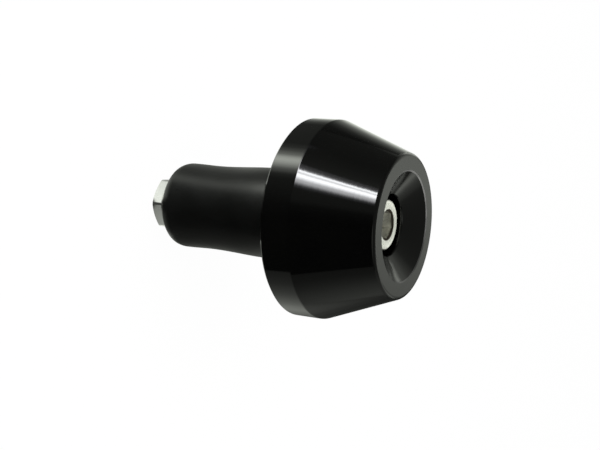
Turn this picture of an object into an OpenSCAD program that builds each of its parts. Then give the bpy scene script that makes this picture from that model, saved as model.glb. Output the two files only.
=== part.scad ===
// Bar end weight for a motorcycle handlebar, in millimetres.
// The screw's axis is Z. The origin is the middle of the weight's back face, which the end of the
// handlebar meets: the turned weight is above it, and the rubber sleeve that goes into the bar below.

/* [Weight] */
// Outside diameter of the straight band
weight_d = 39; // [36:0.5:46]
// Length of the straight band
band_l = 5.85; // [4:0.05:10]
// Length of the taper, from the band to the outer face
taper_l = 14.65; // [12:0.05:20]
// Diameter at which the taper would meet the outer face if that edge were sharp
face_d = 27.7; // [25.5:0.1:32]
// Radius of the rounded outer edge
edge_r = 0.9; // [0.3:0.1:1.5]
// Radius where the band turns into the taper
shoulder_r = 1; // [0.5:0.5:6]
// Chamfer round the back face
back_chamfer = 0.45; // [0.2:0.05:1]

/* [Dish] */
// Diameter of the rim of the conical dish in the outer face
dish_d = 21.2; // [16:0.1:22.5]
// Depth of the dish, from the outer face to the counterbore's rim
dish_depth = 3.2; // [2:0.1:5]
// Chamfer that breaks the rims of the dish and the counterbore
rim_chamfer = 0.15; // [0.1:0.05:0.3]

/* [Screw] */
// Thread diameter of the cap screw
screw_d = 6; // [5:0.1:6.5]
// How far the screw's tip ends inside the nut's outer face, which sets the screw's length
tip_inset = 0.6; // [0:0.1:2]
// Diameter of the head
head_d = 10; // [9:0.1:11]
// Height of the head
head_h = 6; // [5:0.1:7]
// Rounding of the head's top edge
head_edge_r = 0.6; // [0.2:0.1:1]
// Hexagon socket, across its flats
socket_af = 5; // [3:0.5:6]
// Depth of the socket's flats
socket_depth = 3; // [2:0.1:4]
// Depth of the bevel at the socket's mouth
socket_bevel = 0.3; // [0.1:0.05:0.5]
// How far the head's top lies below the counterbore's rim
head_sink = 0.5; // [0.1:0.1:2]
// Chamfer at the screw's tip
tip_chamfer = 0.7; // [0.3:0.1:1]

/* [Sleeve] */
// Length of the rubber sleeve
sleeve_l = 30.2; // [27:0.1:36]
// Diameter of the straight stretch beside the weight
sleeve_d = 18.3; // [17.5:0.1:20]
// Length of that straight stretch
land_l = 8; // [5:0.5:12]
// Diameter at the waist
waist_d = 17.3; // [15:0.1:17.4]
// Distance of the waist from the weight
waist_at = 21.5; // [18:0.1:23]
// Diameter of the bulge at the inner end
bulge_d = 17.6; // [16.5:0.1:19]
// Distance of the bulge's middle from the washer
bulge_from_end = 2.2; // [1.5:0.1:3.5]
// Diameter of the flat end under the washer
sleeve_end_d = 15.2; // [13.5:0.1:16]

/* [Washer and nut] */
// Diameter of the washer
washer_d = 12; // [11.5:0.5:13]
// Thickness of the washer
washer_t = 1.6; // [1:0.1:2]
// Rounding of the washer's stamped edge
washer_edge = 0.3; // [0.1:0.1:0.4]
// Hexagon nut, across its flats
nut_af = 9.8; // [9:0.1:11]
// Thickness of the nut
nut_t = 3; // [2.4:0.1:5]
// How much the nut's corners are rounded off, at the radius
nut_corner_cut = 0.15; // [0.05:0.05:0.3]
// Diameter of the nut's flat face, inside the chamfer on its corners
nut_face_d = 9.2; // [8:0.1:9.4]
// Slope of that chamfer, in degrees
nut_chamfer_angle = 25; // [15:1:35]
// Chamfer at the mouth of the nut's thread
nut_mouth = 0.5; // [0.2:0.1:0.8]
// Turn of the nut about the screw, in degrees
nut_turn = 34.5; // [0:0.5:60]
// Turn of the socket about the screw, in degrees
socket_turn = 20; // [0:0.5:60]

/* [Clearances] */
// Radial clearance of the screw's head in the counterbore
head_clearance = 0.9; // [0.2:0.1:1.2]
// Radial clearance of the screw in the weight
weight_clearance = 0.25; // [0.1:0.05:0.5]
// Radial clearance of the screw in the rubber sleeve
sleeve_clearance = 0.75; // [0.1:0.05:1]
// Radial clearance of the screw in the washer
washer_clearance = 0.2; // [0.1:0.05:0.5]
// Radial clearance of the screw's outside diameter in the nut
thread_clearance = 0.02; // [0:0.01:0.1]

/* [Hidden] */
$fn = 96;
// Steps in which a rounded edge is drawn
arc_steps = 8;
// Steps in which each stretch of the sleeve's curved side is drawn
side_steps = 10;
// Cuts run this far past the face that they open
past = 1;
// Slope of the drilled cone at the bottom of the socket, in degrees
drill_angle = 31;

weight_l = band_l + taper_l;
taper_angle = atan((weight_d - face_d) / 2 / taper_l);
bore_d = head_d + 2 * head_clearance;
head_top = weight_l - dish_depth - head_sink;
head_seat = head_top - head_h;
washer_top = -sleeve_l;
nut_top = washer_top - washer_t;
nut_end = nut_top - nut_t;
screw_tip = nut_end + tip_inset;
nut_corner_d = nut_af / cos(30);
socket_corner_d = socket_af / cos(30);

// Points of an arc about a centre, from one angle to another
function arc(centre, r, from, to) = [
    for (i = [0:arc_steps])
        let (a = from + (to - from) * i / arc_steps)
        [centre.x + r * cos(a), centre.y + r * sin(a)]
];

// Share of the way from one level to another on a soft S, at t from 0 to 1
function ease(t) = (1 - cos(180 * t)) / 2;

// Points of the side between two levels, each given as [radius, height]
function soft_side(a, b) = [
    for (i = [1:side_steps])
        let (t = i / side_steps)
        [a[0] + (b[0] - a[0]) * ease(t), a[1] + (b[1] - a[1]) * t]
];

// A round hole along the axis, from one height to another
module hole(d, low, high) {
    translate([0, 0, low]) cylinder(d = d, h = high - low);
}

// A hexagonal prism along the axis
module hexagon(corner_d, low, high, turn) {
    translate([0, 0, low]) rotate(turn) cylinder(d = corner_d, h = high - low, $fn = 6);
}

// The weight's outer form, before it is bored
module weight_blank() {
    r = weight_d / 2;
    // Lengths from the sharp corners to where their roundings start
    shoulder_run = shoulder_r * tan(taper_angle / 2);
    edge_run = edge_r * tan((90 - taper_angle) / 2);
    rotate_extrude() polygon(concat(
        [[0, 0], [r - back_chamfer, 0], [r, back_chamfer]],
        arc([r - shoulder_r, band_l - shoulder_run], shoulder_r, 0, taper_angle),
        arc([face_d / 2 - edge_run, weight_l - edge_r], edge_r, taper_angle, 90),
        [[0, weight_l]]
    ));
}

// The dish, the counterbore and their broken rims, as one cut
module dish_cut() {
    rim = dish_d / 2;
    bore = bore_d / 2;
    dish_floor = weight_l - dish_depth;
    rotate_extrude() polygon([
        [0, dish_floor - rim_chamfer],
        [bore, dish_floor - rim_chamfer],
        [bore + rim_chamfer, dish_floor + rim_chamfer / 2],
        [rim - rim_chamfer, weight_l - rim_chamfer],
        [rim + rim_chamfer, weight_l],
        [rim + rim_chamfer, weight_l + past],
        [0, weight_l + past]
    ]);
}

// Turned weight, with the screw's counterbore sunk into a conical dish
module end_weight() {
    color("#1d1e20")
    difference() {
        weight_blank();
        dish_cut();
        hole(bore_d, head_seat, weight_l);
        hole(screw_d + 2 * weight_clearance, -past, weight_l);
    }
}

// Socket cap screw, its head down in the counterbore
module cap_screw() {
    shank_r = screw_d / 2;
    socket_floor = head_top - socket_depth;
    cone_h = socket_af / 2 * tan(drill_angle);
    color("#c9c7c2")
    difference() {
        rotate_extrude() polygon(concat(
            [
                [0, screw_tip],
                [shank_r - tip_chamfer, screw_tip],
                [shank_r, screw_tip + tip_chamfer],
                [shank_r, head_seat],
                [head_d / 2, head_seat]
            ],
            arc([head_d / 2 - head_edge_r, head_top - head_edge_r], head_edge_r, 0, 90),
            [[0, head_top]]
        ));
        hexagon(socket_corner_d, socket_floor, head_top + past, socket_turn);
        // The drill's cone below the flats, and the bevel at the socket's mouth
        rotate_extrude() polygon([
            [0, socket_floor - cone_h],
            [socket_af / 2, socket_floor],
            [socket_af / 2, head_top - socket_bevel],
            [socket_corner_d / 2 + socket_bevel / 2, head_top],
            [socket_corner_d / 2 + socket_bevel / 2, head_top + past],
            [0, head_top + past]
        ]);
    }
}

// Rubber sleeve that swells inside the bar when the screw is tightened
module rubber_sleeve() {
    land = [sleeve_d / 2, -land_l];
    waist = [waist_d / 2, -waist_at];
    bulge = [bulge_d / 2, bulge_from_end - sleeve_l];
    end_r = sleeve_end_d / 2;
    color("#161616")
    difference() {
        rotate_extrude() polygon(concat(
            [[0, 0], [sleeve_d / 2, 0], land],
            soft_side(land, waist),
            soft_side(waist, bulge),
            [for (i = [1:side_steps])
                let (a = 90 * i / side_steps)
                [end_r + (bulge[0] - end_r) * cos(a), bulge[1] - bulge_from_end * sin(a)]],
            [[0, -sleeve_l]]
        ));
        hole(screw_d + 2 * sleeve_clearance, -sleeve_l - past, past);
    }
}

// Flat washer between the sleeve and the nut
module flat_washer() {
    r = washer_d / 2;
    color("#b9bab8")
    difference() {
        rotate_extrude() polygon(concat(
            [[0, nut_top], [r, nut_top]],
            arc([r - washer_edge, washer_top - washer_edge], washer_edge, 0, 90),
            [[0, washer_top]]
        ));
        hole(screw_d + 2 * washer_clearance, nut_top - past, washer_top + past);
    }
}

// Thin hexagon nut, its corners chamfered on both faces
module hex_nut() {
    corner_r = nut_corner_d / 2 - nut_corner_cut;
    face_r = nut_face_d / 2;
    bevel = (corner_r - face_r) * tan(nut_chamfer_angle);
    thread_d = screw_d + 2 * thread_clearance;
    color("#cfcfcc")
    difference() {
        intersection() {
            hexagon(nut_corner_d, nut_end, nut_top, nut_turn);
            rotate_extrude() polygon([
                [0, nut_end],
                [face_r, nut_end],
                [corner_r, nut_end + bevel],
                [corner_r, nut_top - bevel],
                [face_r, nut_top],
                [0, nut_top]
            ]);
        }
        hole(thread_d, nut_end - past, nut_top + past);
        translate([0, 0, nut_end])
            cylinder(d1 = thread_d + 2 * nut_mouth, d2 = thread_d, h = nut_mouth);
    }
}

end_weight();
cap_screw();
rubber_sleeve();
flat_washer();
hex_nut();
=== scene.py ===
"""Bar end weight: finishes, fine thread and knurl, studio and camera. Metres, in the part's own frame."""
import math

import bmesh
import bpy
from mathutils import Matrix, Vector


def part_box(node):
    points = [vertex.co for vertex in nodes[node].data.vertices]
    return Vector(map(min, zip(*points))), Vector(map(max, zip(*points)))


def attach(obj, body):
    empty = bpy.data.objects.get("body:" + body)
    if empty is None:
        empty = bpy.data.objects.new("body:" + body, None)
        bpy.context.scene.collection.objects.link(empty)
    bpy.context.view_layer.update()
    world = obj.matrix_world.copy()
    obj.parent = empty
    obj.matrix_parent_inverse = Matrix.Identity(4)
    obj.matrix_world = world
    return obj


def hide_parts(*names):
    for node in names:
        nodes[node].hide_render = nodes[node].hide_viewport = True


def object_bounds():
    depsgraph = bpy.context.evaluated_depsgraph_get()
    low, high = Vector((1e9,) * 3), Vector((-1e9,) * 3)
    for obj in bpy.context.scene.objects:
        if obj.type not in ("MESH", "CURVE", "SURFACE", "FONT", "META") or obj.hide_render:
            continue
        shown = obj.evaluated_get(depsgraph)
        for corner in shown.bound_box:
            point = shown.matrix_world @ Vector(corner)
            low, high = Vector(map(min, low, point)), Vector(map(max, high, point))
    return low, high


MM = 0.001
BODY = "root"

# Camera: width and focal length of the photograph in pixels, width of the sensor, place, aim and clipping
PHOTO_W = 600
FOCAL_PX = 1028.0
SENSOR_MM = 36.0
EYE = Vector((0.0, -180.05, 94.90)) * MM
AIM = Vector((1.78, 0.0, -1.98)) * MM
CLIP_NEAR = 0.01
CLIP_FAR = 20.0
# The photograph's upward direction is the part's -X, turned by this many degrees
ROLL = 5.8
PHOTO_UP = Vector((-1.0, 0.0, 0.0))
TO_CAMERA = Vector((0.0, -1.0, 0.0))
OUTBOARD = Vector((0.0, 0.0, 1.0))

# Cap screw, as the solid has it
SHANK_R = 3.0 * MM
HEAD_R = 5.0 * MM
HEAD_H = 6.0 * MM
HEAD_EDGE = 0.6 * MM
TIP_CHAMFER = 0.7 * MM
SOCKET_AF = 5.0 * MM
SOCKET_DEPTH = 3.0 * MM
SOCKET_BEVEL = 0.3 * MM
SOCKET_TURN = 20.0
DRILL_ANGLE = 31.0

# Its thread, with the shares of a pitch at which the crest ends, the root starts and the root ends
PITCH = 1.0 * MM
CREST_END = 0.125
ROOT_START = 0.4375
ROOT_END = 0.6875
THREAD_DEPTH = 0.613 * MM
THREAD_L = 24.0 * MM
# Length over which the thread runs out
THREAD_FADE = 1.5 * MM

# Its knurl: grooves round the head, and how far below the rounded edge they start to fade and are gone
KNURLS = 48
KNURL_DEPTH = 0.16 * MM
KNURL_FADE = 0.5 * MM
KNURL_END = 0.05 * MM

# Nut's thread, which meshes with the screw's: its inner radius, the radius of the hole that it fills, the
# chamfered mouth that it leaves open, and the gap between the two threads
NUT_MINOR_R = 2.46 * MM
NUT_BORE_R = 3.02 * MM
NUT_MOUTH = 0.5 * MM
THREAD_GAP = 0.01 * MM

# Meshes: columns round the axis, steps of the head's rounded edge, width of the ring that keeps the
# shading of its flat top even, and the angle in degrees above which an edge is shaded sharp
COLUMNS = 120
EDGE_STEPS = 6
FLAT_INSET = 0.1 * MM
SHARP_ANGLE = 20.0
# Points nearer than the first of these are merged, and edges and faces thinner than the second dissolved
MERGE_DISTANCE = 0.0005 * MM
SLIVER = 0.0002 * MM
# Cutters run this far past the face that they open
PAST = 1.0 * MM

# Finishes: scales of noise are per metre, and most of a noise lies between these two values
NOISE_LOW = 0.3
NOISE_HIGH = 0.7
BUMP_STRENGTH = 0.5

# Black anodised metal: darkest and lightest dye, light grey of the painted highlight on the dish's rim,
# roughness from least to most, and the scale of its patches
DYE_DARK = (0.0006, 0.0006, 0.0007)
DYE_LIGHT = (0.0012, 0.0012, 0.0011)
RIM_HIGHLIGHT_GREY = (0.30, 0.30, 0.29)
DYE_ROUGH = (0.045, 0.065)
PATCH_SCALE = 140.0
# Faces that look outboard are rougher: from the first of these leans of the normal, fully at the second
FACED = (0.55, 0.8)
FACED_ROUGHER = 0.09
# Lathe marks, as pitch and depth
FINE_MARKS = (0.08 * MM, 0.0024 * MM)
COARSE_MARKS = (0.7 * MM, 0.010 * MM)

# Rim of the dish, painted light grey as a painted highlight. It starts to fade at a share of the rim's
# half width and depth. Along X it falls from full to its least between two places.
RIM_R = 10.6 * MM
RIM_HALF = 0.16 * MM
RIM_DEPTH = 0.17 * MM
RIM_HIGHLIGHT_SOFT = 0.8
RIM_HIGHLIGHT_X = (-6.0 * MM, 5.0 * MM)
RIM_HIGHLIGHT_LEAST = 0.2
# Its patches: scale, values of the noise between which they thicken, and the share left where they are thin
RIM_HIGHLIGHT_SCALE = 350.0
RIM_HIGHLIGHT_NOISE = (0.3, 0.6)
RIM_HIGHLIGHT_THIN = 0.5

# Rubber: darkest and lightest colour, roughness from least to most, and its fine skin and its broader
# unevenness, as scale and depth
RUBBER_DARK = (0.0013, 0.0015, 0.0013)
RUBBER_LIGHT = (0.0024, 0.0027, 0.0023)
RUBBER_ROUGH = (0.32, 0.42)
SKIN = (900.0, 0.03 * MM)
UNEVEN = (160.0, 0.10 * MM)

# Steel: colour of its dull patches as a share of the full one, value of the noise at which the full colour
# is reached, and how much finer its marks are than its clouds
DULL = 0.9
CLOUD_HIGH = 0.65
MARKS_FINER = 6.0

# Dark brown in the socket's bevelled mouth: colour, reach from the axis and the width over which it ends
# there, the outboard leans of a face and the depths below the head's top between which it ends, its share
# at most, and the roughness that it adds
MOUTH_BROWN = (0.05, 0.032, 0.018)
MOUTH_BROWN_R = 3.2 * MM
MOUTH_BROWN_SOFT = 0.1 * MM
MOUTH_BROWN_LEAN = (0.93, 0.97)
MOUTH_BROWN_DEPTHS = (0.25 * MM, 0.45 * MM)
MOUTH_BROWN_SHARE = 0.95
MOUTH_BROWN_ROUGHER = 0.25

# Light from all round, and the floor: its side, its matt colour, and the share of its own light in what the
# camera sees. That light has the strength at which the two add up to white.
AMBIENT = 0.36
FLOOR_SIZE = 6.0
FLOOR_COLOUR = (0.86, 0.86, 0.86)
FLOOR_GLOW = 0.95
FLOOR_LIGHT = 1.025

# Lamp: bearing and elevation in degrees, distance, side and radiance
LAMP_BEARING = 30.0
LAMP_ELEVATION = 53.13
LAMP_DISTANCE = 0.8
LAMP_SIZE = 0.6
LAMP_RADIANCE = 3.0

# Studio cards, which only reflections see: radii, heights, and how they lean from foot to top, in degrees
WALL_R = 0.6
WALL_TOP = 0.6
HORIZON_R = 0.59
HORIZON_TOP = 0.17
HEAD_CARD_LOW = 0.42
STRIP_R = 0.58
STRIP_LOW = 0.05
STRIP_TOP = 0.205
STRIP_LEAN = -9.5
FOOT_R = 0.575
FOOT_TOP = 0.045
FOOT_LEAN = -4.0
CEILING_R = 1.05
# Colours of the light of the cards and of the strip light
CARD_TINT = (0.96, 1.0, 0.91)
STRIP_TINT = (0.97, 0.98, 1.0)
# Most degrees between two columns of a card, and degrees between two corners of the ceiling
CARD_STEP = 3.0
CEILING_STEP = 10
# How far each card on the floor lies above what is under it
CARD_LIFT = 0.1 * MM

# Radii on the floor: the nut shows it from the first on, the sleeve from the second and the weight from
# the third, and the stretch that the weight's band shows ends at the fourth
NUT_ZONE = 3.5 * MM
SLEEVE_ZONE = 13.0 * MM
WEIGHT_ZONE = 55.0 * MM
BAND_ZONE = 110.0 * MM
# From this radius on, the weight's floor fades to this share of its tone at the wall
FLOOR_FADE_R = 0.12
FLOOR_FAR_SHARE = 0.4

# Tones of the cards, as pairs of a bearing and the brightness there. Bearings are in degrees from the
# camera's side, towards the photograph's top.
# The wall on the camera's side
WALL_TONES = (
    (-120, 0.30), (-108, 0.33), (-98, 0.31), (-90, 0.25), (-82, 0.18), (-75, 0.13), (-66, 0.11),
    (-65, 0.02), (-5, 0.02), (4, 0.035), (11, 0.06), (17, 0.13), (26, 0.15), (52, 0.25), (62, 0.17),
    (70, 0.13), (80, 0.10), (120, 0.08),
)
# The wall behind the part, which the flat ring and the dish show, and its shares at its foot and higher up
BACK_TONES = (
    (120, 0.08), (130, 0.25), (142, 0.38), (153, 0.5), (160, 0.6), (168, 0.75), (174, 0.80), (178, 0.82),
    (181, 0.66), (184, 0.60), (190, 0.40), (201, 0.25), (204, 0.7), (208, 1.1), (212, 0.6), (217, 0.42),
    (228, 0.30), (240, 0.30),
)
BACK_FOOT_SHARE = 0.3
BACK_SHARES = ((0.05, 0.35), (0.15, 0.8), (0.25, 0.85), (0.31, 1.1), (0.38, 1.0), (WALL_TOP, 0.95))
# A light patch high on the camera's side, which rounded edges show, and its shares at its heights
FRONT_TONES = ((-80, 0.1), (-50, 0.35), (-30, 0.6), (-12, 0.5), (0, 0.15), (25, 0.15))
FRONT_SHARES = ((0.36, 0.1), (0.46, 1.0), (WALL_TOP, 1.0))
# A low card behind the part, which surfaces seen at a grazing angle show
HORIZON_TONES = (
    (120, 0.1), (136, 0.5), (145, 1.4), (161, 1.2), (167, 0.25), (171, 0.05), (200, 0.05), (225, 0.1),
    (240, 0.28),
)
# A light patch high behind, which the rounding of the screw's head shows
HEAD_TONES = ((160, 0.6), (168, 2.4), (192, 2.4), (200, 0.4))
# The strip light, which makes the streak along the taper, with a thin darker line in it
STRIP_TONES = (
    (29.4, 0.2), (31.9, 0.6), (33.4, 2.5), (35.9, 8.5), (37.9, 10.5), (40.4, 22), (41.9, 28), (43.9, 24),
    (44.9, 12), (45.9, 22), (47.4, 28), (48.2, 7), (49.4, 2), (50.9, 1), (53.9, 0.5),
)
# The foot of the strip light, which the rounded shoulder shows
FOOT_TONES = (
    (43, 0.1), (45, 4.0), (48, 12.0), (53, 12.0), (57, 9.0), (60, 6.5), (64, 2.8), (69, 1.2), (75, 0.5),
    (84, 0.1),
)
# The floor that the weight shows
FLOOR_TONES = (
    (-180, 0.05), (-150, 0.05), (-141, 0.08), (-132, 0.17), (-124, 0.37), (-110, 0.75), (-100, 0.6),
    (-91, 0.44), (-83, 0.35), (-76, 0.25), (-61.5, 0.17), (-60, 0.02), (-4, 0.03), (11, 0.06), (36, 0.16),
    (41, 0.3), (47, 1.5), (54, 5.5), (57, 6.5), (60, 5.5), (64, 2.2), (69, 0.9), (74, 0.35), (80, 0.18),
    (119, 0.08), (128, 0.16), (139, 0.44), (150, 1.0), (162, 1.2), (168, 0.3), (172, 0.05), (180, 0.05),
)
# The nearer floor that the lower side of the weight's band shows
BAND_TONES = (
    (-152, 0.12), (-141, 0.25), (-132, 0.45), (-124, 0.72), (-116, 0.8), (-110, 0.72), (-104, 0.66),
)
# The floor that the sleeve shows
SLEEVE_TONES = (
    (-180, 0.6), (-113, 0.18), (-94, 0.12), (-67, 0.09), (-44, 0.03), (-6, 0.06), (22, 0.09), (35, 0.14),
    (44, 0.22), (50, 0.8), (57, 1.25), (64, 0.8), (72, 0.3), (90, 0.27), (108, 0.4), (140, 0.6), (180, 0.6),
)
# The floor that the nut shows
NUT_TONES = (
    (-180, 0.25), (-140, 0.7), (-110, 0.3), (-75, 1.0), (-65, 0.35), (-25, 0.25), (-16, 0.05), (4, 0.05),
    (12, 1.05), (50, 0.85), (75, 0.25), (105, 0.6), (140, 0.9), (160, 0.2), (180, 0.25),
)
# The ceiling, at the camera's side and behind
CEILING_FRONT = 0.06
CEILING_BACK = 0.26


def build_camera():
    """A camera at the photograph's place, lying on its side as the part does there."""
    forward = (AIM - EYE).normalized()
    level_right = forward.cross(PHOTO_UP).normalized()
    turn = Matrix.Rotation(math.radians(-ROLL), 3, forward)
    up = turn @ level_right.cross(forward)
    right = turn @ level_right
    data = bpy.data.cameras.new("camera")
    data.sensor_width = SENSOR_MM
    data.lens = FOCAL_PX / PHOTO_W * SENSOR_MM
    data.clip_start = CLIP_NEAR
    data.clip_end = CLIP_FAR
    camera = bpy.data.objects.new("camera", data)
    columns = Matrix((right, up, -forward)).transposed()
    camera.matrix_world = Matrix.Translation(EYE) @ columns.to_4x4()
    bpy.context.scene.collection.objects.link(camera)
    bpy.context.scene.camera = camera


class Graph:
    """Short calls for building the nodes of a material or of the world."""

    def __init__(self, tree):
        self.tree = tree
        tree.nodes.clear()

    def add(self, kind, **settings):
        node = self.tree.nodes.new(kind)
        for name, value in settings.items():
            setattr(node, name, value)
        return node

    def link(self, source, target):
        self.tree.links.new(source, target)

    def number(self, operation, a, b=None):
        """A Math node on sockets or plain numbers, and its result."""
        node = self.add("ShaderNodeMath", operation=operation)
        for socket, value in zip(node.inputs, (a, b)):
            if value is None:
                continue
            if isinstance(value, (int, float)):
                socket.default_value = value
            else:
                self.link(value, socket)
        return node.outputs[0]

    def product(self, first, *others):
        for other in others:
            first = self.number("MULTIPLY", first, other)
        return first

    def split(self, vector):
        """The X, Y and Z of a vector, by those names."""
        node = self.add("ShaderNodeSeparateXYZ")
        self.link(vector, node.inputs[0])
        return node.outputs

    def noise(self, coordinates, scale, detail, roughness=0.5):
        node = self.add("ShaderNodeTexNoise")
        node.inputs["Scale"].default_value = scale
        node.inputs["Detail"].default_value = detail
        node.inputs["Roughness"].default_value = roughness
        self.link(coordinates, node.inputs["Vector"])
        return node.outputs["Fac"]

    def ramp(self, value, low, high, to_low, to_high):
        """Maps a value from one range to another, clamped at both ends."""
        node = self.add("ShaderNodeMapRange")
        self.link(value, node.inputs["Value"])
        for name, number in (("From Min", low), ("From Max", high), ("To Min", to_low), ("To Max", to_high)):
            node.inputs[name].default_value = number
        return node.outputs["Result"]

    def colours(self, value, stops):
        """A colour ramp through (place, (r, g, b)) stops."""
        node = self.add("ShaderNodeValToRGB")
        for element, (place, colour) in zip(node.color_ramp.elements, stops):
            element.position = place
            element.color = (*colour, 1.0)
        self.link(value, node.inputs["Fac"])
        return node.outputs["Color"]

    def mixed(self, share, first, second):
        """A colour between a socket's and an (r, g, b)."""
        node = self.add("ShaderNodeMix", data_type="RGBA")
        self.link(share, node.inputs["Factor"])
        self.link(first, node.inputs["A"])
        node.inputs["B"].default_value = (*second, 1.0)
        return node.outputs["Result"]

    def bump(self, height, distance, normal=None):
        node = self.add("ShaderNodeBump")
        node.inputs["Strength"].default_value = BUMP_STRENGTH
        node.inputs["Distance"].default_value = distance
        self.link(height, node.inputs["Height"])
        if normal is not None:
            self.link(normal, node.inputs["Normal"])
        return node.outputs["Normal"]


def blank_material(name):
    """A material with no shader yet, its graph, and the socket for its surface."""
    material = bpy.data.materials.new(name)
    material.use_nodes = True
    graph = Graph(material.node_tree)
    return material, graph, graph.add("ShaderNodeOutputMaterial").inputs["Surface"]


def new_material(name):
    """A material with a Principled shader, its graph, and the object coordinates in metres."""
    material, graph, surface = blank_material(name)
    shader = graph.add("ShaderNodeBsdfPrincipled")
    graph.link(shader.outputs["BSDF"], surface)
    place = graph.add("ShaderNodeTexCoord").outputs["Object"]
    return material, graph, shader, place


def polar(graph, place):
    """Distance from the screw's axis, and height along it, both in metres."""
    parts = graph.split(place)
    squares = [graph.product(parts[axis], parts[axis]) for axis in ("X", "Y")]
    return graph.number("SQRT", graph.number("ADD", *squares)), parts["Z"]


def lathe_marks(graph, radius, height, pitch):
    """Fine rings left by turning, as a height field on the distance along the cut."""
    line = graph.add("ShaderNodeCombineXYZ")
    graph.link(graph.number("ADD", radius, height), line.inputs["X"])
    return graph.noise(line.outputs["Vector"], 1.0 / pitch, detail=3.0, roughness=0.6)


def rim_painted_highlight(graph, place, radius, height):
    """Share of the painted highlight's light grey on the dish's broken rim, fullest towards -X."""
    off = graph.number("ABSOLUTE", graph.number("SUBTRACT", radius, RIM_R))
    across = graph.ramp(off, RIM_HIGHLIGHT_SOFT * RIM_HALF, RIM_HALF, 1.0, 0.0)
    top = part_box("end_weight")[1][2]
    level = graph.ramp(height, top - RIM_DEPTH, top - RIM_HIGHLIGHT_SOFT * RIM_DEPTH, 0.0, 1.0)
    side = graph.ramp(graph.split(place)["X"], *RIM_HIGHLIGHT_X, 1.0, RIM_HIGHLIGHT_LEAST)
    patchy = graph.ramp(graph.noise(place, RIM_HIGHLIGHT_SCALE, detail=2.0), *RIM_HIGHLIGHT_NOISE, RIM_HIGHLIGHT_THIN, 1.0)
    return graph.product(across, level, side, patchy)


def black_anodised():
    """Dyed anodised aluminium: glossy outside, a little more matt on the flat ring and in the dish, with a
    painted highlight of light grey along the dish's rim.
    """
    material, graph, shader, place = new_material("black anodised")
    radius, height = polar(graph, place)
    patches = graph.noise(place, PATCH_SCALE, detail=3.0, roughness=0.55)
    smooth = graph.ramp(patches, NOISE_LOW, NOISE_HIGH, *DYE_ROUGH)
    normal = graph.split(graph.add("ShaderNodeNewGeometry").outputs["Normal"])
    faced = graph.ramp(normal["Z"], *FACED, 0.0, FACED_ROUGHER)
    graph.link(graph.number("ADD", smooth, faced), shader.inputs["Roughness"])
    dyed = graph.colours(patches, [(NOISE_LOW, DYE_DARK), (NOISE_HIGH, DYE_LIGHT)])
    # Painted highlight: light grey along the dish's rim, fullest towards -X
    rim_highlight = rim_painted_highlight(graph, place, radius, height)
    graph.link(graph.mixed(rim_highlight, dyed, RIM_HIGHLIGHT_GREY), shader.inputs["Base Color"])
    turned = None
    for pitch, depth in (FINE_MARKS, COARSE_MARKS):
        turned = graph.bump(lathe_marks(graph, radius, height, pitch), depth, turned)
    graph.link(turned, shader.inputs["Normal"])
    return material


def moulded_rubber():
    """Matt black rubber with a fine, uneven skin."""
    material, graph, shader, place = new_material("moulded rubber")
    skin = graph.noise(place, SKIN[0], detail=4.0, roughness=0.6)
    broad = graph.noise(place, UNEVEN[0], detail=3.0, roughness=0.55)
    graph.link(graph.ramp(broad, NOISE_LOW, NOISE_HIGH, *RUBBER_ROUGH), shader.inputs["Roughness"])
    colour = graph.colours(broad, [(NOISE_LOW, RUBBER_DARK), (NOISE_HIGH, RUBBER_LIGHT)])
    graph.link(colour, shader.inputs["Base Color"])
    graph.link(graph.bump(broad, UNEVEN[1], graph.bump(skin, SKIN[1])), shader.inputs["Normal"])
    return material


def metal(name, base, rough, grain, marks_depth, darkening=None):
    """Bare or plated steel, with cloudy roughness and fine marks.

    A darkening is a colour and a function that gives its share from the graph and the place.
    """
    material, graph, shader, place = new_material(name)
    shader.inputs["Metallic"].default_value = 1.0
    cloud = graph.noise(place, grain, detail=4.0, roughness=0.6)
    roughness = graph.ramp(cloud, NOISE_LOW, NOISE_HIGH, *rough)
    dull = tuple(DULL * channel for channel in base)
    colour = graph.colours(cloud, [(NOISE_LOW, dull), (CLOUD_HIGH, base)])
    if darkening is not None:
        tint, share_of = darkening
        share = share_of(graph, place)
        colour = graph.mixed(share, colour, tint)
        roughness = graph.number("ADD", roughness, graph.product(share, MOUTH_BROWN_ROUGHER))
    graph.link(roughness, shader.inputs["Roughness"])
    graph.link(colour, shader.inputs["Base Color"])
    marks = graph.noise(place, grain * MARKS_FINER, detail=3.0, roughness=0.6)
    graph.link(graph.bump(marks, marks_depth), shader.inputs["Normal"])
    return material


def socket_mouth_brown(graph, place):
    """Share of the dark brown in the socket's bevelled mouth."""
    radius, height = polar(graph, place)
    normal = graph.split(graph.add("ShaderNodeNewGeometry").outputs["True Normal"])
    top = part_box("cap_screw")[1][2]
    full, gone = MOUTH_BROWN_DEPTHS
    inside = graph.ramp(radius, MOUTH_BROWN_R - MOUTH_BROWN_SOFT, MOUTH_BROWN_R, 1.0, 0.0)
    sloped = graph.ramp(normal["Z"], *MOUTH_BROWN_LEAN, 1.0, 0.0)
    mouth = graph.ramp(height, top - gone, top - full, 0.0, MOUTH_BROWN_SHARE)
    return graph.product(inside, sloped, mouth)


def on_circle(radius, turn, height):
    """A point at a share of a turn round the axis."""
    angle = 2 * math.pi * turn
    return radius * math.cos(angle), radius * math.sin(angle), height


def thread_cut(height, turn):
    """Share of the thread's depth that is cut away, at a height and at a share of a turn."""
    phase = (height / PITCH - turn) % 1.0
    if phase < CREST_END:
        return 0.0
    if phase < ROOT_START:
        return (phase - CREST_END) / (ROOT_START - CREST_END)
    if phase < ROOT_END:
        return 1.0
    return (1.0 - phase) / (1.0 - ROOT_END)


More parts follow.
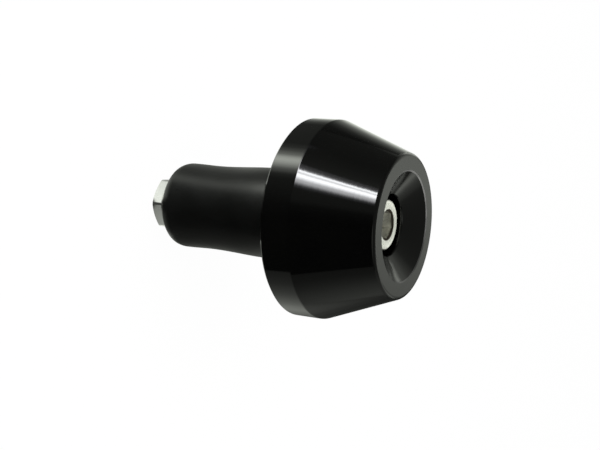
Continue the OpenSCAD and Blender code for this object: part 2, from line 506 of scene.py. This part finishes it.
def screw_radius(height, turn, tip, end):
    """Radius of the shank between its chamfered tip and the end of the thread."""
    fade = min(1.0, max(0.0, (end - height) / THREAD_FADE))
    threaded = SHANK_R - THREAD_DEPTH * thread_cut(height, turn) * fade
    return min(threaded, SHANK_R - TIP_CHAMFER + (height - tip))


def nut_radius(height, turn):
    """Radius of the nut's thread, cut off at its inner diameter."""
    return max(NUT_MINOR_R, SHANK_R + THREAD_GAP - THREAD_DEPTH * thread_cut(height, turn))


def helical_wall(bm, radius_at, low, high, outward=True):
    """A wall of revolution whose rows follow the thread. Returns its lower and its upper loop."""
    breaks = (0.0, CREST_END, ROOT_START, ROOT_END)
    # Rows run past both ends of the wall, and what lies beyond an end is pressed flat onto it
    first = math.floor(low / PITCH) - 2
    last = math.ceil(high / PITCH) + 2
    steps = [(n + b) * PITCH for n in range(first, last) for b in breaks]
    grid = []
    for j in range(COLUMNS):
        turn = j / COLUMNS
        heights = [min(high, max(low, step + turn * PITCH)) for step in steps]
        grid.append([bm.verts.new(on_circle(radius_at(h, turn), turn, h)) for h in heights])
    for j in range(COLUMNS):
        # The last column meets the first one pitch further on
        shift = len(breaks) if j == COLUMNS - 1 else 0
        here = grid[j]
        there = grid[(j + 1) % COLUMNS]
        for k in range(len(steps) - 1 - shift):
            quad = [here[k], there[k + shift], there[k + 1 + shift], here[k + 1]]
            bm.faces.new(quad if outward else quad[::-1])
    return [column[0] for column in grid], [column[-1] for column in grid]


def ring_loop(bm, radius, height, count=COLUMNS):
    """A closed loop of points round the axis. Its radius is a number or a function of the turn."""
    loop = []
    for j in range(count):
        turn = j / count
        here = radius(turn) if callable(radius) else radius
        loop.append(bm.verts.new(on_circle(here, turn, height)))
    return loop


def join_loops(bm, lower, upper):
    """Faces between two loops, where the upper one has as many points as the lower or twice as many."""
    count = len(lower)
    ratio = len(upper) // count
    for j in range(count):
        a, b = lower[j], lower[(j + 1) % count]
        if ratio == 1:
            bm.faces.new([a, b, upper[(j + 1) % count], upper[j]])
            continue
        c, d, e = upper[2 * j], upper[2 * j + 1], upper[(2 * j + 2) % len(upper)]
        bm.faces.new([a, d, c])
        bm.faces.new([a, b, d])
        bm.faces.new([b, e, d])


def join_all(bm, loops):
    """Faces between each loop and the next."""
    for lower, upper in zip(loops, loops[1:]):
        join_loops(bm, lower, upper)


def close_below(bm, height, loop):
    """Faces from a point on the axis, at a height, to the loop above it."""
    point = bm.verts.new((0, 0, height))
    for a, b in zip(loop, loop[1:] + loop[:1]):
        bm.faces.new([point, b, a])


def add_object(name, bm):
    """Puts a mesh into the scene as an object."""
    mesh = bpy.data.meshes.new(name)
    bm.to_mesh(mesh)
    bm.free()
    added = bpy.data.objects.new(name, mesh)
    bpy.context.scene.collection.objects.link(added)
    return added


def finish_mesh(bm, name):
    """Cleans a mesh up, shades it, and makes it a piece on the part's body."""
    bmesh.ops.remove_doubles(bm, verts=bm.verts[:], dist=MERGE_DISTANCE)
    bmesh.ops.dissolve_degenerate(bm, edges=bm.edges[:], dist=SLIVER)
    bmesh.ops.recalc_face_normals(bm, faces=bm.faces[:])
    piece = add_object(name, bm)
    for polygon in piece.data.polygons:
        polygon.use_smooth = True
    piece.data.set_sharp_from_angle(angle=math.radians(SHARP_ANGLE))
    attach(piece, BODY)
    return piece


def flats_cutter(top, corner_r):
    """The hexagon socket's flats, as a solid to cut away."""
    bm = bmesh.new()
    turns = [(SOCKET_TURN + 60 * k) / 360 for k in range(6)]
    floor, roof = [[bm.verts.new(on_circle(corner_r, turn, height)) for turn in turns]
                   for height in (top - SOCKET_DEPTH, top + PAST)]
    join_loops(bm, floor, roof)
    bm.faces.new(floor[::-1])
    bm.faces.new(roof)
    return add_object("flats cutter", bm)


def mouth_cutter(top, corner_r):
    """The socket's drilled cone and the bevel at its mouth, as a solid to cut away."""
    bm = bmesh.new()
    drill_r = SOCKET_AF / 2
    mouth_r = corner_r + SOCKET_BEVEL / 2
    floor = top - SOCKET_DEPTH
    profile = ((drill_r, floor), (drill_r, top - SOCKET_BEVEL), (mouth_r, top), (mouth_r, top + PAST))
    loops = [ring_loop(bm, radius, height) for radius, height in profile]
    join_all(bm, loops)
    bm.faces.new(loops[-1])
    close_below(bm, floor - drill_r * math.tan(math.radians(DRILL_ANGLE)), loops[0])
    return add_object("mouth cutter", bm)


def carve(piece, cutters):
    """Cuts the cutters out of a piece and removes them."""
    for cutter in cutters:
        cut = piece.modifiers.new(cutter.name, "BOOLEAN")
        cut.operation = "DIFFERENCE"
        cut.solver = "EXACT"
        cut.object = cutter
    depsgraph = bpy.context.evaluated_depsgraph_get()
    carved = bpy.data.meshes.new_from_object(piece.evaluated_get(depsgraph))
    carved.set_sharp_from_angle(angle=math.radians(SHARP_ANGLE))
    piece.modifiers.clear()
    piece.data = carved
    for cutter in cutters:
        bpy.data.objects.remove(cutter)


def head_loops(bm, seat, top):
    """Loops of the screw's head: its knurled side, its rounded edge, and the border of its flat top."""
    count = 2 * COLUMNS
    side_top = top - HEAD_EDGE

    def grooved(turn):
        return HEAD_R - KNURL_DEPTH * abs(math.sin(math.pi * KNURLS * turn))

    side = (
        (grooved, seat),
        (grooved, side_top - KNURL_FADE),
        (HEAD_R, side_top - KNURL_END),
        (HEAD_R, side_top),
    )
    loops = [ring_loop(bm, radius, height, count) for radius, height in side]
    for k in range(1, EDGE_STEPS + 1):
        angle = math.pi / 2 * k / EDGE_STEPS
        radius = HEAD_R - HEAD_EDGE * (1 - math.cos(angle))
        loops.append(ring_loop(bm, radius, side_top + HEAD_EDGE * math.sin(angle), count))
    loops.append(ring_loop(bm, HEAD_R - HEAD_EDGE - FLAT_INSET, top, count))
    return loops


def build_screw():
    """The cap screw with its rolled thread, knurled head and socket, in place of the plain solid."""
    low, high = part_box("cap_screw")
    tip, top = low[2], high[2]
    seat = top - HEAD_H
    end = tip + THREAD_L
    bm = bmesh.new()
    foot, neck = helical_wall(bm, lambda height, turn: screw_radius(height, turn, tip, end), tip, end)
    close_below(bm, tip, foot)
    loops = [neck, ring_loop(bm, SHANK_R, seat)] + head_loops(bm, seat, top)
    join_all(bm, loops)
    bm.faces.new(loops[-1])
    screw = finish_mesh(bm, "socket_screw")
    corner_r = SOCKET_AF / 2 / math.cos(math.pi / 6)
    carve(screw, [flats_cutter(top, corner_r), mouth_cutter(top, corner_r)])
    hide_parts("cap_screw")
    return screw


def build_nut_thread():
    """The thread in the nut's hole, in step with the screw's."""
    low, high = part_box("hex_nut")
    bottom, top = low[2] + NUT_MOUTH, high[2]
    bm = bmesh.new()
    foot, head = helical_wall(bm, nut_radius, bottom, top, outward=False)
    join_all(bm, [foot, ring_loop(bm, NUT_BORE_R, bottom), ring_loop(bm, NUT_BORE_R, top), head])
    thread = finish_mesh(bm, "nut_thread")
    return thread


def light_path_share(graph):
    """1 for rays from the camera or off gloss or glass, and 0 for the rest."""
    path = graph.add("ShaderNodeLightPath")
    seen = graph.number("MAXIMUM", path.outputs["Is Camera Ray"], path.outputs["Is Glossy Ray"])
    return graph.number("MAXIMUM", seen, path.outputs["Is Transmission Ray"])


def build_world():
    """White where it is seen or reflected, and a plain ambient level on everything else."""
    world = bpy.data.worlds.new("studio")
    bpy.context.scene.world = world
    world.use_nodes = True
    graph = Graph(world.node_tree)
    output = graph.add("ShaderNodeOutputWorld")
    background = graph.add("ShaderNodeBackground")
    background.inputs["Color"].default_value = (1.0, 1.0, 1.0, 1.0)
    graph.link(background.outputs[0], output.inputs["Surface"])
    graph.link(graph.ramp(light_path_share(graph), 0.0, 1.0, AMBIENT, 1.0), background.inputs["Strength"])


def build_floor(level):
    """A pale floor under the part. It is seen white, and keeps part of the shadow."""
    half = FLOOR_SIZE / 2
    corners = [(-half, -half, level), (half, -half, level), (half, half, level), (-half, half, level)]
    mesh = bpy.data.meshes.new("floor")
    mesh.from_pydata(corners, [], [(0, 1, 2, 3)])
    floor = bpy.data.objects.new("floor", mesh)
    bpy.context.scene.collection.objects.link(floor)
    material, graph, surface = blank_material("floor")
    matt = graph.add("ShaderNodeBsdfDiffuse")
    matt.inputs["Color"].default_value = (*FLOOR_COLOUR, 1.0)
    light = graph.add("ShaderNodeEmission")
    light.inputs["Strength"].default_value = FLOOR_LIGHT
    mix = graph.add("ShaderNodeMixShader")
    graph.link(graph.product(light_path_share(graph), FLOOR_GLOW), mix.inputs[0])
    graph.link(matt.outputs[0], mix.inputs[1])
    graph.link(light.outputs[0], mix.inputs[2])
    graph.link(mix.outputs[0], surface)
    mesh.materials.append(material)


def card_material(name, tint):
    """Cards whose brightness is stored in their points."""
    material, graph, surface = blank_material(name)
    light = graph.add("ShaderNodeEmission")
    light.inputs["Color"].default_value = (*tint, 1.0)
    tone = graph.add("ShaderNodeAttribute", attribute_name="tone")
    graph.link(tone.outputs["Fac"], light.inputs["Strength"])
    graph.link(light.outputs[0], surface)
    return material


def add_card(name, points, faces, tones, material):
    """A card that only reflections see, as is stood round black goods in a studio."""
    mesh = bpy.data.meshes.new(name)
    mesh.from_pydata(points, [], faces)
    stored = mesh.attributes.new("tone", "FLOAT", "POINT")
    for k, tone in enumerate(tones):
        stored.data[k].value = tone
    card = bpy.data.objects.new(name, mesh)
    bpy.context.scene.collection.objects.link(card)
    card.visible_camera = False
    card.visible_diffuse = False
    card.visible_shadow = False
    mesh.materials.append(material)


def bearing(degrees):
    """The direction at a bearing from the camera's side towards the photograph's top."""
    angle = math.radians(degrees)
    return TO_CAMERA * math.cos(angle) + PHOTO_UP * math.sin(angle)


def columns_of(stops):
    """Bearings of a card's columns and the tones there: every stop, and enough between them."""
    columns = []
    for (a, first), (b, second) in zip(stops, stops[1:]):
        parts = math.ceil((b - a) / CARD_STEP)
        shares = [k / parts for k in range(parts)]
        columns += [(a + (b - a) * share, first + (second - first) * share) for share in shares]
    return columns + [stops[-1]]


def add_band(name, stops, edges, material, lean=0.0):
    """A band of card round the part, with a tone for each bearing.

    Its edges are (radius, height, share of the tone). From the first to the last of them it leans by so
    many degrees. A band that lies flat has no lean.
    """
    low, high = edges[0][1], edges[-1][1]
    points, tones = [], []
    for angle, tone in columns_of(stops):
        for radius, height, share in edges:
            shift = lean * ((height - low) / (high - low) - 0.5) if lean else 0.0
            points.append(tuple(bearing(angle + shift) * radius + OUTBOARD * height))
            tones.append(tone * share)
    rows = len(edges)
    faces = [(k, k + rows, k + rows + 1, k + 1) for k in range(len(points) - rows) if (k + 1) % rows]
    add_card(name, points, faces, tones, material)


def upright(radius, *rows):
    """Edges of a band that stands at a radius, from (height, share) rows."""
    return [(radius, height, share) for height, share in rows]


def flat(height, *rings):
    """Edges of a band that lies at a height, from (radius, share) rings."""
    return [(radius, height, share) for radius, share in rings]


def add_ceiling(material):
    """A ceiling that grows lighter from the camera's side to the back."""
    points = [tuple(bearing(a) * CEILING_R + OUTBOARD * WALL_TOP) for a in range(0, 360, CEILING_STEP)]
    backs = [0.5 + 0.5 * y / CEILING_R for _, y, _ in points]
    tones = [CEILING_FRONT + (CEILING_BACK - CEILING_FRONT) * back for back in backs]
    add_card("ceiling card", points, [tuple(range(len(points)))], tones, material)


def build_cards(level):
    """Dark and light cards round the part.

    They are the walls, the light patches and the low card in front of them, the strip light and its foot,
    the zones of the floor, and the ceiling.
    """
    card = card_material("card", CARD_TINT)
    strip = card_material("strip", STRIP_TINT)
    lift = level + CARD_LIFT
    over = lift + CARD_LIFT
    add_band("front wall card", WALL_TONES, upright(WALL_R, (level, 1), (WALL_TOP, 1)), card)
    add_band("back wall card", BACK_TONES, upright(WALL_R, (level, BACK_FOOT_SHARE), *BACK_SHARES), card)
    add_band("head card", HEAD_TONES, upright(HORIZON_R, (HEAD_CARD_LOW, 1), (WALL_TOP, 1)), card)
    add_band("front card", FRONT_TONES, upright(HORIZON_R, *FRONT_SHARES), card)
    add_band("horizon card", HORIZON_TONES, upright(HORIZON_R, (level, 1), (HORIZON_TOP, 1)), card)
    add_band("strip card", STRIP_TONES, upright(STRIP_R, (STRIP_LOW, 1), (STRIP_TOP, 1)), strip, STRIP_LEAN)
    add_band("foot card", FOOT_TONES, upright(FOOT_R, (level, 1), (FOOT_TOP, 1)), strip, FOOT_LEAN)
    far = (WALL_R, FLOOR_FAR_SHARE)
    add_band("floor card", FLOOR_TONES, flat(lift, (WEIGHT_ZONE, 1), (FLOOR_FADE_R, 1), far), card)
    add_band("band card", BAND_TONES, flat(over, (WEIGHT_ZONE, 1), (BAND_ZONE, 1)), card)
    add_band("sleeve card", SLEEVE_TONES, flat(lift, (SLEEVE_ZONE, 1), (WEIGHT_ZONE, 1)), card)
    add_band("nut card", NUT_TONES, flat(lift, (NUT_ZONE, 1), (SLEEVE_ZONE, 1)), card)
    add_ceiling(card)


def build_lights():
    """A broad soft lamp above, on the camera's side. The cards give the reflections."""
    data = bpy.data.lights.new("broad", "AREA")
    data.shape = "SQUARE"
    data.size = LAMP_SIZE
    data.energy = LAMP_RADIANCE * math.pi * LAMP_SIZE ** 2
    lamp = bpy.data.objects.new("broad", data)
    bpy.context.scene.collection.objects.link(lamp)
    elevation = math.radians(LAMP_ELEVATION)
    direction = bearing(LAMP_BEARING) * math.cos(elevation) + OUTBOARD * math.sin(elevation)
    lamp.location = direction * LAMP_DISTANCE
    lamp.rotation_euler = direction.to_track_quat("Z", "Y").to_euler()
    lamp.visible_camera = False
    lamp.visible_glossy = False


def dress(obj, material):
    """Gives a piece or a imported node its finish."""
    obj.data.materials.clear()
    obj.data.materials.append(material)


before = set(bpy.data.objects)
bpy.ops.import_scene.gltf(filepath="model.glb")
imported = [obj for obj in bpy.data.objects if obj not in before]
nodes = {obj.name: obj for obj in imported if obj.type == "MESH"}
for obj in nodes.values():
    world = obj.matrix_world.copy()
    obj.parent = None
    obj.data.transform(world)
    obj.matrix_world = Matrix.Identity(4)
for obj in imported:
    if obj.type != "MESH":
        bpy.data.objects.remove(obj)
cad_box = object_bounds()
floor_level = cad_box[0].z
build_camera()
build_world()
build_floor(floor_level)
build_cards(floor_level)
build_lights()
# The screw's steel, made dark brown in its socket's bevelled mouth
stainless = metal("stainless", base=(0.95, 0.94, 0.90), rough=(0.24, 0.32), grain=500.0,
                  marks_depth=0.002 * MM, darkening=(MOUTH_BROWN, socket_mouth_brown))
plated_nut = metal("plated nut", base=(0.84, 0.84, 0.84), rough=(0.24, 0.34), grain=400.0,
                   marks_depth=0.006 * MM)
plated_washer = metal("plated washer", base=(0.78, 0.78, 0.76), rough=(0.26, 0.36), grain=600.0,
                      marks_depth=0.004 * MM)
dress(build_screw(), stainless)
dress(build_nut_thread(), plated_nut)
dress(nodes["end_weight"], black_anodised())
dress(nodes["rubber_sleeve"], moulded_rubber())
dress(nodes["flat_washer"], plated_washer)
dress(nodes["hex_nut"], plated_nut)
bpy.context.scene.view_settings.view_transform = "Standard"
